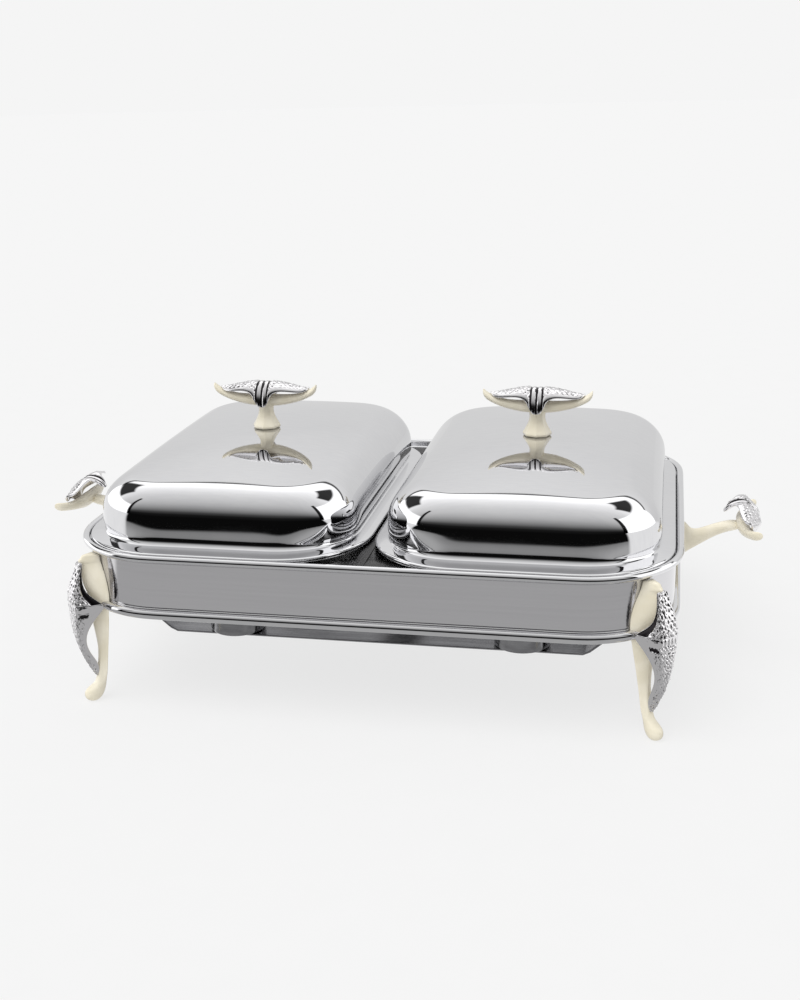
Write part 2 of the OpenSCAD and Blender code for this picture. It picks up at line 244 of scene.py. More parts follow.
class Board:
    # the node board of one material
    def __init__(self, tree):
        self.tree = tree
        tree.nodes.clear()

    def node(self, kind, settings, *values, output=0, **named):
        made = self.tree.nodes.new(kind)
        for key, value in settings.items():
            if key == "stops":
                elements = made.color_ramp.elements
                elements.remove(elements[1])
                elements[0].position = value[0][0]
                for place, level in value[1:]:
                    elements.new(place)
                for element, (place, level) in zip(elements, value):
                    element.color = (level, level, level, 1.0)
            else:
                setattr(made, key, value)
        for index, value in enumerate(values):
            self.connect(made.inputs[index], value)
        for key, value in named.items():
            self.connect(made.inputs[key.replace("_", " ")], value)
        return Wire(self, made.outputs[output]) if made.outputs else None

    def connect(self, socket, value):
        if isinstance(value, Wire):
            self.tree.links.new(value.socket, socket)
        elif value is not None:
            socket.default_value = value

    def place(self):
        return self.node("ShaderNodeTexCoord", {}, output=3)

    def apart(self, vector):
        made = self.tree.nodes.new("ShaderNodeSeparateXYZ")
        self.tree.links.new(vector.socket, made.inputs[0])
        return [Wire(self, made.outputs[index]) for index in range(3)]

    def stretched(self, scale):
        return self.node("ShaderNodeMapping", {}, self.place(), Scale=scale)

    def grain(self, scale, detail=3.0, stretch=(1.0, 1.0, 1.0), rough=0.5):
        return self.node("ShaderNodeTexNoise", {}, Vector=self.stretched(stretch), Scale=scale, Detail=detail,
                         Roughness=rough)

    def blend(self, amount, low, high):
        made = self.tree.nodes.new("ShaderNodeMix")
        made.data_type = "RGBA"
        self.connect(made.inputs[0], amount)
        for index, value in ((6, low), (7, high)):
            self.connect(made.inputs[index], (*value, 1.0) if isinstance(value, tuple) else value)
        return Wire(self, made.outputs[2])

    def bump(self, height, distance, strength=1.0):
        return self.node("ShaderNodeBump", {}, Height=height, Distance=distance, Strength=strength)

    def surface(self, shader):
        self.node("ShaderNodeOutputMaterial", {}, shader)


def newMaterial(name):
    material = bpy.data.materials.new(name)
    material.use_nodes = True
    return material, Board(material.node_tree)


def metal(name, look):
    # polished or satin metal: fine lines along one way, soft smudges, tiny scratches
    material, board = newMaterial(name)
    lines = board.grain(look["lineScale"], 4.0, look["lineStretch"])
    smudge = board.grain(look["smudgeScale"], 2.0)
    scratch = board.grain(look["scratchScale"], 6.0, (1.0, 9.0, 2.0), 0.7)
    smears = smudge.step(0.42, 0.68) * look["smudgeRough"]
    roughness = (lines - 0.5) * look["lineRough"] + smears + look["rough"]
    tone = smudge * 0.4 + lines * 0.6
    colour = board.blend(tone.step(0.3, 0.7), look["dark"], look["light"])
    height = lines * look["lineBump"] + scratch.step(0.62, 0.72) * look["scratchBump"]
    board.surface(board.node("ShaderNodeBsdfPrincipled", {}, Base_Color=colour, Metallic=1.0,
                             Roughness=roughness.greater(0.012),
                             Normal=board.bump(height, look["bumpDistance"])))
    return material


mirrorLook = {"dark": (0.70, 0.70, 0.715), "light": (0.74, 0.74, 0.75), "rough": 0.028, "lineRough": 0.02,
              "smudgeRough": 0.018, "lineScale": 90.0, "lineStretch": (1.0, 6.0, 1.0), "smudgeScale": 14.0,
              "scratchScale": 420.0, "lineBump": 0.004, "scratchBump": 0.03, "bumpDistance": 0.00002}
mirrorSteel = metal("mirrorSteel", mirrorLook)

bandLook = {"dark": (0.67, 0.665, 0.68), "light": (0.70, 0.695, 0.71), "rough": 0.07, "lineRough": 0.03,
            "smudgeRough": 0.05, "lineScale": 160.0, "lineStretch": (0.05, 0.05, 3.0), "smudgeScale": 9.0,
            "scratchScale": 300.0, "lineBump": 0.12, "scratchBump": 0.05, "bumpDistance": 0.00002}
satinBand = metal("satinBand", bandLook)

panLook = {"dark": (0.60, 0.60, 0.61), "light": (0.69, 0.69, 0.70), "rough": 0.22, "lineRough": 0.12,
           "smudgeRough": 0.06, "lineScale": 240.0, "lineStretch": (1.0, 0.04, 1.0), "smudgeScale": 11.0,
           "scratchScale": 260.0, "lineBump": 0.8, "scratchBump": 0.3, "bumpDistance": 0.00004}
satinSteel = metal("satinSteel", panLook)

# dark steel for the rails and cups under the frame: the low base colour is painted shade
burnerLook = {"dark": (0.22, 0.22, 0.23), "light": (0.36, 0.36, 0.37), "rough": 0.16, "lineRough": 0.12,
              "smudgeRough": 0.08, "lineScale": 260.0, "lineStretch": (0.05, 1.0, 1.0), "smudgeScale": 22.0,
              "scratchScale": 240.0, "lineBump": 0.7, "scratchBump": 0.4, "bumpDistance": 0.00005}
burnerSteel = metal("burnerSteel", burnerLook)

# near-black satin steel for the divider plate and the centre divider: painted shade for the dark gap between
# the two lids
paintedShadeLook = {"dark": (0.010, 0.009, 0.010), "light": (0.022, 0.021, 0.023), "rough": 0.22, "lineRough": 0.10,
              "smudgeRough": 0.08, "lineScale": 240.0, "lineStretch": (1.0, 0.05, 1.0), "smudgeScale": 16.0,
              "scratchScale": 260.0, "lineBump": 0.6, "scratchBump": 0.3, "bumpDistance": 0.00004}
paintedShadeSteel = metal("paintedShadeSteel", paintedShadeLook)

zincLook = {"dark": (0.50, 0.50, 0.51), "light": (0.62, 0.62, 0.64), "rough": 0.30, "lineRough": 0.10,
            "smudgeRough": 0.12, "lineScale": 700.0, "lineStretch": (1.0, 1.0, 1.0), "smudgeScale": 120.0,
            "scratchScale": 500.0, "lineBump": 0.6, "scratchBump": 0.4, "bumpDistance": 0.00006}
zincFasteners = metal("zincFasteners", zincLook)


silverLook = {"bright": (0.78, 0.77, 0.78), "tarnishAndShade": (0.03, 0.028, 0.03), "rough": 0.06,
              "bumpDistance": 0.00004}


def silverMaterial():
    # bright plate that has darkened in the engraving, and painted shade along the bow's inner edge above the
    # waist; the attribute read here holds the engraver's depth and that painted shade
    material, board = newMaterial("silverPlate")
    depth = board.node("ShaderNodeAttribute", {"attribute_name": "relief"}, output=2)
    speck = board.grain(900.0, 3.0)
    hollow = ((0.42 - depth) * 1.7 + (speck - 0.5) * 0.5).step(0.1, 0.62)
    colour = board.blend(hollow, silverLook["bright"], silverLook["tarnishAndShade"])
    roughness = hollow * 0.16 + speck * 0.06 + silverLook["rough"]
    height = board.grain(1500.0, 2.0) * 0.6 + speck * 0.4
    board.surface(board.node("ShaderNodeBsdfPrincipled", {}, Base_Color=colour, Metallic=1.0,
                             Roughness=roughness, Normal=board.bump(height, silverLook["bumpDistance"], 0.5)))
    return material


silverPlate = silverMaterial()


ivoryLook = {"dark": (0.82, 0.76, 0.60), "light": (0.89, 0.835, 0.69), "fleck": (0.62, 0.53, 0.38),
             "rough": 0.24, "coat": 0.25, "coatRough": 0.12, "bumpDistance": 0.00025}


def ivoryMaterial():
    # thick satin enamel: cloudy cream, faint brush drift and small darker flecks
    material, board = newMaterial("ivoryEnamel")
    cloud = board.grain(55.0, 3.0)
    drift = board.grain(260.0, 2.0, (1.0, 1.0, 0.3))
    fleck = board.grain(1300.0, 2.0).step(0.70, 0.76)
    warm = board.blend(cloud.step(0.35, 0.68), ivoryLook["dark"], ivoryLook["light"])
    colour = board.blend(fleck * 0.25, warm, ivoryLook["fleck"])
    roughness = cloud * 0.10 + drift * 0.06 + ivoryLook["rough"]
    height = drift * 0.7 + cloud * 0.5
    board.surface(board.node("ShaderNodeBsdfPrincipled", {}, Base_Color=colour, Roughness=roughness,
                             Normal=board.bump(height, ivoryLook["bumpDistance"], 0.35),
                             Specular_IOR_Level=0.5, Coat_Weight=ivoryLook["coat"],
                             Coat_Roughness=ivoryLook["coatRough"]))
    return material


ivoryEnamel = ivoryMaterial()
print("materials made")


# lids

lidShape = {"half": (113.8, 174.6), "corner": 69.6, "centreX": 114.8, "rest": 126.0, "sheet": 1.1,
            "wall": (97.8, 158.6), "crown": 12.5, "shoulder": 22.0, "flare": 5.5}
lidSection = ([(-1.0, 0.1), (-0.3, 0.7), (-0.1, 1.5), (-0.5, 2.4), (-1.5, 2.9), (-4.5, 3.3), (-8.0, 3.8)]
              + arcPoints(-10.4, 9.2, 5.0, 262, 181, 6)
              + [(-15.55, 13.0), (-15.7, 17.5), (-15.9, 21.5)]
              + arcPoints(-38.0, 23.5, lidShape["shoulder"], 4, 90, 14)
              + [(-43.0, 45.5), (-49.0, 45.5), (-56.0, 45.5), (-63.0, 45.5), (-67.0, 45.5)])


def pillow(x, y):
    # rise of the lid's top over its middle, nothing at its walls
    across = max(0.0, 1 - (x / lidShape["wall"][0]) ** 2)
    along = max(0.0, 1 - (y / lidShape["wall"][1]) ** 2)
    return lidShape["crown"] * across * along


def buildLid():
    piece = sweepOutline("lidMaster", lidSection, lidShape["half"], lidShape["corner"], 10, (8, 16), False)
    bpy.ops.mesh.select_mode(type="EDGE")
    bpy.ops.mesh.select_all(action="DESELECT")
    mesh = bmesh.from_edit_mesh(piece.data)
    for edge in mesh.edges:
        if edge.is_boundary and edge.verts[0].co.z > 40 * mm:
            edge.select = True
    bmesh.update_edit_mesh(piece.data)
    bpy.ops.mesh.fill_grid(span=20)
    bpy.ops.mesh.select_mode(type="VERT")
    mesh = bmesh.from_edit_mesh(piece.data)
    for vert in mesh.verts:
        if vert.co.z > 24 * mm:
            lift = pillow(vert.co.x / mm, vert.co.y / mm)
            share = min(1.0, (vert.co.z / mm - 24) / 12)
            vert.co.z += lift * share * mm
        # the side walls flare out below the shoulder
        z = vert.co.z / mm
        lean = min(1.0, max(0.0, (z - 3.2) / 6.5)) * min(1.0, max(0.0, (46.0 - z) / 24.0)) ** 0.8
        share = min(1.0, max(0.0, (abs(vert.co.x) / mm - 46.0) / 50.0))
        vert.co.x += math.copysign(lidShape["flare"] * lean * share * mm, vert.co.x)
    bmesh.update_edit_mesh(piece.data)
    tidyMesh()
    piece.data.transform(Matrix.Translation((0, 0, lidShape["rest"] * mm)))
    addModifier(piece, "SOLIDIFY", thickness=lidShape["sheet"] * mm, offset=-1.0)
    addModifier(piece, "SUBSURF", levels=1, render_levels=1)
    smoothShade(piece)
    return piece


lidMaster = buildLid()
for side, sign in (("left", -1), ("right", 1)):
    place = Matrix.Translation((sign * lidShape["centreX"] * mm, 0, 0))
    lid = copyPiece(lidMaster, "lid_shell_" + side, place)
    finishPiece(lid, "lid_" + side, "mirror_steel", mirrorSteel, "lid_" + side)
dropPiece(lidMaster)
print("lids made")


# frame: rims and band

# half lengths and corner radius of each hoop's outline
rimShape = {"top": ((235.0, 181.0), 76.0), "bottom": ((234.0, 180.0), 75.0), "band": ((229.0, 175.0), 70.0)}
topSection = (arcPoints(-3.0, 126.0, 2.95, -95, 205, 16) + [(-6.2, 124.75), (-14.9, 124.75), (-15.0, 124.2),
              (-14.9, 123.65), (-5.6, 123.65)])
bottomSection = (arcPoints(-4.0, 81.0, 3.95, -170, 100, 16)
                 + [(-5.1, 85.2), (-5.4, 86.2), (-6.2, 86.2), (-6.3, 84.5), (-7.6, 81.4), (-9.0, 81.35),
                    (-22.9, 81.35), (-23.0, 80.8), (-22.9, 80.25), (-9.0, 80.25)])
bandHeights = [85.0, 86.2, 95.0, 104.0, 113.0, 122.4, 123.5]
bandSection = [(0.0, z) for z in bandHeights] + [(-1.1, z) for z in reversed(bandHeights)]


def buildHoop(name, section, outline, node, slot, material):
    half, corner = outline
    piece = sweepOutline(name, section, half, corner, 12, (16, 12), True)
    tidyMesh()
    addModifier(piece, "SUBSURF", levels=1, render_levels=1)
    smoothShade(piece, 50)
    return finishPiece(piece, "frame", slot, material, node)


buildHoop("rim_top", topSection, rimShape["top"], "top_rim", "mirror_steel", mirrorSteel)
buildHoop("rim_bottom", bottomSection, rimShape["bottom"], "bottom_rim", "mirror_steel", mirrorSteel)
buildHoop("band_sheet", bandSection, rimShape["band"], "frame_band", "satin_band", satinBand)
print("frame made")


# divider between the pans

dividerShape = {"half": 174.4, "corner": 69.0, "side": 114.8 - 107.0, "cornerEnd": 168.0, "turn": 5.6,
                "foot": 6.0, "z": 124.4, "thick": 0.9, "edge": 0.2}


def buildDivider():
    # a quarter of the plate's edge runs along the pan's side and round its corner, and is mirrored both ways
    corner = dividerShape["corner"]
    side = dividerShape["side"]
    straight = dividerShape["cornerEnd"] - corner
    edge = [(side, 0.0), (side, 0.5 * straight), (side, straight)]
    for step in range(1, 11):
        angle = math.radians(step * dividerShape["turn"])
        edge.append((side + corner * (1 - math.cos(angle)), straight + corner * math.sin(angle)))
    edge.append((edge[-1][0] + dividerShape["foot"], dividerShape["half"]))
    outline = edge + [(-x, y) for x, y in reversed(edge)]
    outline += [(-x, -y) for x, y in outline[1:-1]]
    piece = startRing("divider_plate", [(x * mm, y * mm, 0) for x, y in outline])
    bpy.ops.mesh.edge_face_add()
    tidyMesh()
    if piece.data.polygons[0].normal.z < 0:
        piece.data.flip_normals()
    piece.data.transform(Matrix.Translation((0, 0, dividerShape["z"] * mm)))
    addModifier(piece, "SOLIDIFY", thickness=dividerShape["thick"] * mm, offset=-1.0)
    addModifier(piece, "BEVEL", width=dividerShape["edge"] * mm, segments=2, limit_method="ANGLE",
                angle_limit=math.radians(60))
    smoothShade(piece, 30)
    return piece


# the divider plate is coloured near black: painted shade between the lids
finishPiece(buildDivider(), "frame", "satin_steel", paintedShadeSteel)
print("divider made")


# food pans

panShape = {"half": (113.4, 174.2), "corner": 69.2, "rest": 126.0, "sheet": 1.1}
panSection = ([(-0.1, 0.0), (-5.0, 0.0), (-9.6, 0.0)] + arcPoints(-10.0, -2.0, 2.0, 80, 176, 4)
              + [(-12.1, -10.0), (-12.4, -20.0), (-12.9, -29.0)] + arcPoints(-23.6, -31.0, 10.0, -8, -90, 7)
              + [(-30.0, -41.0), (-40.0, -41.0), (-49.0, -41.0)])


def buildPan():
    piece = sweepOutline("panMaster", panSection, panShape["half"], panShape["corner"], 8, (6, 12), False)
    bpy.ops.mesh.select_mode(type="EDGE")
    bpy.ops.mesh.select_all(action="DESELECT")
    mesh = bmesh.from_edit_mesh(piece.data)
    for edge in mesh.edges:
        if edge.is_boundary and edge.verts[0].co.z < -40 * mm:
            edge.select = True
    bmesh.update_edit_mesh(piece.data)
    bpy.ops.mesh.fill_grid(span=14)
    bpy.ops.mesh.select_mode(type="VERT")
    tidyMesh()
    piece.data.transform(Matrix.Translation((0, 0, panShape["rest"] * mm)))
    return piece


def faceUp(piece):
    # the pan's wall gets its thickness below and outside its inner face
    deselectAll()
    piece.select_set(True)
    bpy.context.view_layer.objects.active = piece
    floorZ = 85 * mm
    middle = min(piece.data.polygons,
                 key=lambda face: face.center.xy.length + 10 * abs(face.center.z - floorZ))
    if middle.normal.z < 0:
        bpy.ops.object.mode_set(mode="EDIT")
        bpy.ops.mesh.select_all(action="SELECT")
        bpy.ops.mesh.flip_normals()
        bpy.ops.object.mode_set(mode="OBJECT")


panMaster = buildPan()
faceUp(panMaster)
addModifier(panMaster, "SOLIDIFY", thickness=panShape["sheet"] * mm, offset=-1.0)
addModifier(panMaster, "SUBSURF", levels=1, render_levels=1)
smoothShade(panMaster)
for side, sign in (("left", -1), ("right", 1)):
    place = Matrix.Translation((sign * lidShape["centreX"] * mm, 0, 0))
    pan = copyPiece(panMaster, "pan_shell_" + side, place)
    finishPiece(pan, "pan_" + side, "satin_steel", satinSteel, "food_pan_" + side)
dropPiece(panMaster)
print("pans made")


# legs
# a leg is made along +X, from the middle of the frame's corner arc, and turned to each corner

legShape = {"cornerX": 159.0, "cornerY": 105.0, "band": 69.7, "rim": 79.0, "engraved": 0.8}
# height, inner and outer distance, half width inside and outside
coreRows = [(0.0, 81.8, 84.6, 1.6, 1.4), (0.3, 80.2, 86.6, 2.8, 2.6), (1.4, 78.2, 88.8, 4.3, 4.0),
            (3.4, 76.0, 90.4, 5.3, 5.0), (6.0, 74.4, 90.9, 5.8, 5.4), (8.6, 73.4, 90.2, 5.6, 5.2),
            (10.8, 72.7, 88.0, 5.1, 4.5), (12.6, 72.4, 84.2, 4.7, 3.8), (15.0, 72.2, 80.8, 4.5, 3.2),
            (18.6, 72.0, 79.4, 4.4, 2.9), (22.0, 71.8, 78.6, 4.5, 2.6), (30.0, 71.0, 77.4, 5.0, 2.0),
            (40.0, 70.4, 76.0, 6.4, 1.7), (50.0, 69.8, 76.6, 8.0, 1.7), (60.0, 69.2, 78.0, 9.8, 1.9),
            (68.0, 69.0, 78.8, 11.6, 2.3), (74.0, 69.2, 78.8, 13.0, 2.8), (78.0, 69.2, 78.4, 13.9, 2.9),
            (81.0, 68.2, 78.4, 14.1, 2.9), (84.0, 68.0, 78.8, 14.3, 2.8), (88.5, 67.6, 80.2, 14.4, 2.3),
            (93.0, 67.4, 82.0, 13.9, 1.9), (99.0, 67.4, 83.8, 12.8, 1.5), (106.0, 67.8, 84.2, 10.2, 1.4),
            (111.0, 68.4, 83.4, 7.6, 1.3), (114.4, 68.8, 82.8, 6.2, 1.3), (115.2, 69.0, 85.6, 5.9, 1.4),
            (117.6, 69.2, 86.0, 5.3, 1.4), (118.6, 69.4, 83.6, 5.0, 1.5), (121.7, 69.6, 82.6, 4.6, 1.6)]


def wedgeRing(row):
    # round the wedge: a back that hugs the band, two flat cheeks on each side and a blunt ridge
    z, inner, outer, backHalf, ridgeHalf = row
    depth = outer - inner
    half = [(0.0, 0.50 * backHalf), (0.0, 0.86 * backHalf), (0.07, 0.99 * backHalf), (0.14, backHalf),
            (0.44, 0.72 * backHalf), (0.52, 0.66 * backHalf),
            (0.86, 0.14 * backHalf + 0.86 * ridgeHalf), (0.97, 0.80 * ridgeHalf), (1.0, 0.34 * ridgeHalf)]
    points = []
    roundness = min(1.0, max(0.0, (22 - z) / 8))
    for index, (share, width) in enumerate(half):
        angle = math.pi * (index + 0.5) / len(half)
        share += ((1 - math.cos(angle)) / 2 - share) * roundness
        width += (backHalf * math.sin(angle) - width) * roundness
        p = inner + share * depth
        if z > legShape["rim"] and width < legShape["band"]:
            p = max(p, math.sqrt(legShape["band"] ** 2 - width ** 2))
        points.append((p, width))
    points += [(p, -t) for p, t in reversed(points)]
    return [(p * mm, t * mm, z * mm) for p, t in points]


coreMaster = skinRings("coreMaster", [wedgeRing(row) for row in coreRows], 2)
smoothShade(coreMaster, 50)

# height, outer distance and half width, inner distance and half width
bowRows = [(20.0, 79.6, 1.4, 78.6, 1.5), (23.0, 81.6, 2.2, 77.6, 2.2), (27.0, 83.6, 2.9, 77.4, 3.0),
           (31.5, 85.6, 3.5, 78.6, 3.9), (37.0, 88.0, 4.3, 81.4, 5.0), (42.5, 89.9, 4.9, 84.6, 6.0),
           (49.0, 91.7, 5.5, 87.0, 6.7), (56.0, 93.2, 6.2, 87.4, 7.5), (62.0, 94.1, 7.0, 85.6, 8.6),
           (67.0, 94.4, 7.8, 82.8, 9.8), (71.5, 94.4, 8.6, 79.6, 11.2), (75.4, 94.4, 9.2, 76.6, 12.6),
           (78.6, 94.5, 9.6, 74.2, 13.9), (80.8, 94.6, 9.7, 73.0, 14.5), (83.0, 94.6, 9.7, 74.0, 14.5),
           (85.6, 94.6, 9.5, 76.8, 12.9), (88.8, 94.6, 9.0, 80.4, 10.9), (92.4, 94.1, 8.4, 83.8, 9.2),
           (97.0, 93.0, 7.6, 85.7, 7.9), (103.0, 90.8, 6.6, 86.2, 6.8), (109.0, 88.4, 5.6, 85.6, 5.9),
           (113.4, 86.6, 4.8, 84.6, 5.1), (116.4, 85.2, 4.0, 83.8, 4.3)]


def bowRing(row):
    # a shell that folds round the core: outer face, two cheeks, rolled lips and a hollow inside
    z, outer, outerHalf, inner, innerHalf = row
    depth = outer - inner
    wall = min(2.4, 0.55 * depth)
    lip = min(0.9, 0.25 * depth)
    half = [(outer, 0.15 * outerHalf), (outer - 0.1, 0.5 * outerHalf), (outer - 0.2 * wall, 0.82 * outerHalf),
            (outer - 0.55 * wall, outerHalf),
            (outer - 0.34 * depth - 0.3 * wall, outerHalf * 0.62 + innerHalf * 0.38),
            (outer - 0.68 * depth, outerHalf * 0.3 + innerHalf * 0.7), (inner + lip, innerHalf),
            (inner, innerHalf - 0.5 * lip), (inner + 0.5 * lip, innerHalf - 1.7 * lip),
            (inner + 0.45 * depth, (outerHalf + innerHalf) * 0.5 - 2.2 * lip),
            (outer - wall, 0.62 * outerHalf), (outer - wall, 0.2 * outerHalf)]
    points = half + [(p, -t) for p, t in reversed(half)]
    return [(p * mm, t * mm, z * mm) for p, t in points]


bowMaster = skinRings("bowMaster", [bowRing(row) for row in bowRows], 3)


def ridge(value):
    # a row of rounded ridges, one for each unit
    return abs(math.sin(value * math.pi))


def bowAt(place):
    # where a point lies: its height, and its share of the way from the outer face to the inner edge
    z = place.z / mm
    upper = min(range(1, len(bowRows)), key=lambda index: (bowRows[index][0] < z, abs(bowRows[index][0] - z)))
    low, high = bowRows[upper - 1], bowRows[upper]
    mix = min(1.0, max(0.0, (z - low[0]) / (high[0] - low[0])))
    outer = low[1] + (high[1] - low[1]) * mix
    inner = low[3] + (high[3] - low[3]) * mix
    width = low[2] + (high[2] - low[2]) * mix
    return z, (outer - place.x / mm) / max(outer - inner, 2.0), width


def bowPattern(place):
    # engraving of the bow: scrolls above the waist, a beaded knot, then small scales below it; along the
    # inner edge above the waist it is sunk and marked near black, which is painted shade where the bow meets
    # the core
    z, share, width = bowAt(place)
    t = abs(place.y) / mm
    speckle = noise.noise(place * 700) + 0.6 * noise.noise(place * 1500)
    # painted shade: towards the inner edge the bow sinks and turns near black from the waist to the top;
    # elsewhere on the inner edge it sinks only a little
    if share > 0.52:
        fade = min(1.0, (share - 0.52) / 0.08)
        return 0.6 - fade * (0.75 if 83.5 < z < 113 else 0.12)
    if 73.6 < z + 0.7 * speckle < 76.4 and 0.10 < share - 0.03 * (z - 75) + 0.05 * speckle:
        return -0.6
    if 77.5 < z < 84:
        return 0.35 + 0.85 * ridge((t + 1.7) / 3.4) * ridge((z - 77.5) / 6.5) + 0.3 * speckle
    run = t + (share * 16)
    if z >= 84:
        scroll = ridge((z * 0.9 + run * 1.1) / 5.2) * 0.7 + ridge((z * 0.7 - run * 1.5) / 6.4) * 0.5
        return scroll + 0.02 + 0.6 * speckle
    scales = ridge((z + run) / 3.0) * ridge((z - run) / 3.0)
    return 0.55 * scales + 0.36 + 0.75 * speckle


def engrave(piece, pattern, depth, faces):
    # vertices that face outwards rise and sink by the pattern, which is kept as an attribute for the silver's
    # colour, painted shade included
    mesh = piece.data
    relief = mesh.attributes.new("relief", "FLOAT", "POINT")
    normals = [vert.normal.copy() for vert in mesh.vertices]
    for vert, normal in zip(mesh.vertices, normals):
        share = faces(vert.co, normal)
        value = pattern(vert.co) if share > 0 else 0.6
        relief.data[vert.index].value = value * share + 0.6 * (1 - share)
        if share > 0:
            vert.co += normal * (value - 0.6) * depth * share
    mesh.update()


def bowFaces(place, normal):
    # the outer face and cheeks, not the hollow inside
    side = normal.y if place.y > 0 else -normal.y
    return max(0.0, min(1.0, (max(normal.x, side) - 0.15) / 0.25))


engrave(bowMaster, bowPattern, legShape["engraved"] * mm, bowFaces)
smoothShade(bowMaster)
for front, signY in (("front", -1), ("back", 1)):
    for side, signX in (("left", -1), ("right", 1)):
        corner = Matrix.Translation((signX * legShape["cornerX"] * mm, signY * legShape["cornerY"] * mm, 0))
        turn = corner @ Matrix.Rotation(math.atan2(signY, signX), 4, "Z")
        where = front + "_" + side
        core = copyPiece(coreMaster, "leg_core_cast_" + where, turn)
        finishPiece(core, "frame", "ivory_enamel", ivoryEnamel, "leg_core_" + where)
        bow = copyPiece(bowMaster, "leg_bow_" + where, turn)
        finishPiece(bow, "frame", "silver_plate", silverPlate, "leg_leaf_" + where)
dropPiece(coreMaster)
dropPiece(bowMaster)
print("legs made")


# knobs and side handles
# a grip is made with its crossbar along Y and its tips curling up Z

# distance along, height, half width, half height
barRows = [(0, 0.0, 7.0, 5.2), (5, 0.1, 7.4, 5.2), (11, 0.3, 7.3, 5.0), (17, 0.8, 6.2, 4.6),
           (23, 1.6, 5.1, 4.1), (29, 2.8, 4.4, 3.7), (34, 4.5, 4.0, 3.4), (38, 6.4, 3.9, 3.4),
           (41, 8.2, 3.9, 3.4), (43.0, 10.0, 3.7, 3.3), (44.2, 11.6, 3.0, 2.7), (44.6, 12.5, 1.5, 1.3)]
# distance along, top height, half width, drop of the edges
leafRows = [(0, 16.6, 13.2, 20.4), (2.6, 16.6, 13.3, 20.0), (4.6, 16.6, 13.6, 17.8), (6.2, 16.5, 13.6, 13.6),
            (8.0, 16.3, 13.2, 9.6), (10.6, 16.0, 12.5, 7.2), (14.5, 15.4, 11.4, 5.6), (19.0, 14.6, 10.2, 4.9),
            (24.0, 13.6, 8.8, 4.6), (29.0, 12.5, 7.2, 4.3), (33.4, 11.6, 5.4, 3.6), (36.8, 11.6, 3.4, 2.4),
            (38.4, 12.0, 1.6, 1.4)]
# height below the crossbar, radius
stemRows = [(23.5, 11.0), (22.6, 11.9), (21.2, 12.0), (19.6, 11.0), (17.4, 9.7), (14.8, 8.4), (12.0, 7.2),
            (9.0, 6.5), (6.0, 6.6), (3.0, 7.1), (0.0, 6.6)]


def ovalRing(centre, across, up, halfAcross, halfUp, count=12, power=1.0):
    points = []
    for step in range(count):
        angle = 2 * math.pi * step / count
        c = math.copysign(abs(math.cos(angle)) ** power, math.cos(angle))
        s = math.copysign(abs(math.sin(angle)) ** power, math.sin(angle))
        points.append((Vector(centre) + Vector(across) * halfAcross * c + Vector(up) * halfUp * s) * mm)
    return points


def barRing(row, sign):
    return ovalRing((0, sign * row[0], row[1]), (1, 0, 0), (0, 0, 1), row[2], row[3])


barRings = [barRing(row, -1) for row in reversed(barRows[1:])] + [barRing(row, 1) for row in barRows]


def leafRing(row, sign):
    # an arch over the bar with a turned lip at both edges
    along, top, half, drop = row
    wall = min(1.7, 0.5 * half)
    outer = []
    inner = []
    for step in range(15):
        angle = math.pi * step / 14
        rise = math.sin(angle) ** 0.75
        lip = 1.0 + 0.09 * abs(math.cos(angle)) ** 8
        outer.append((half * math.cos(angle) * lip, top - drop * (1 - rise)))
        inner.append(((half - wall) * math.cos(angle) * lip, top - wall - (drop - wall * 0.7) * (1 - rise)))
    points = outer + list(reversed(inner))
    return [Vector((x, sign * along, z)) * mm for x, z in points]


leafRings = [leafRing(row, -1) for row in reversed(leafRows[1:])] + [leafRing(row, 1) for row in leafRows]


def leafPattern(place):
    # flutes run down the middle, veins and beads sweep out along both wings
    x = abs(place.x) / mm
    y = abs(place.y) / mm
    flutes = 1.5 * ridge(place.y / mm / 4.6) - 0.62
    speckle = noise.noise(place * 700) + 0.6 * noise.noise(place * 1500)
    veins = ridge((y * 0.85 - x * 0.8) / 4.2) * 0.75 + ridge((y * 0.5 + x * 1.0) / 4.8) * 0.45
    wings = veins + 0.6 * speckle - 0.12
    middle = max(0.0, min(1.0, (6.2 - y) / 1.2))
    return flutes * middle + wings * (1 - middle)


def leafFaces(place, normal):
    # the arch's outer face, short of its smooth turned lip along the wings
    y = abs(place.y) / mm
    x = abs(place.x) / mm
    outward = normal.x if place.x > 0 else -normal.x
    if y < 6.8:
        return max(0.0, min(1.0, (max(normal.z, outward) - 0.1) / 0.3))
    half = max(1.0, 14.6 - (y - 8) * 0.34)
    return max(0.0, min(1.0, (normal.z - 0.3) / 0.2)) * max(0.0, min(1.0, (0.86 - x / half) / 0.08))


grip = {"knobBar": 207.5, "knobX": 114.8, "handleX": 278.6, "handleZ": 118.0, "lean": 43.0,
        "barX": 281.9, "barZ": 115.0, "barLean": 68.0, "armRoot": 229.0, "engraved": 0.7, "facet": 0.45}
stemRings = [ovalRing((0, 0, -drop), (1, 0, 0), (0, 1, 0), radius, radius, 8) for drop, radius in stemRows]
barMaster = skinRings("barMaster", barRings, 2)
stemMaster = skinRings("stemMaster", stemRings, 0)
addModifier(stemMaster, "BEVEL", width=grip["facet"] * mm, segments=3, limit_method="ANGLE",
            angle_limit=math.radians(24))
smoothShade(stemMaster, 32)
smoothShade(barMaster)
leafMaster = skinRings("leafMaster", leafRings, 2)
engrave(leafMaster, leafPattern, grip["engraved"] * mm, leafFaces)
smoothShade(leafMaster)

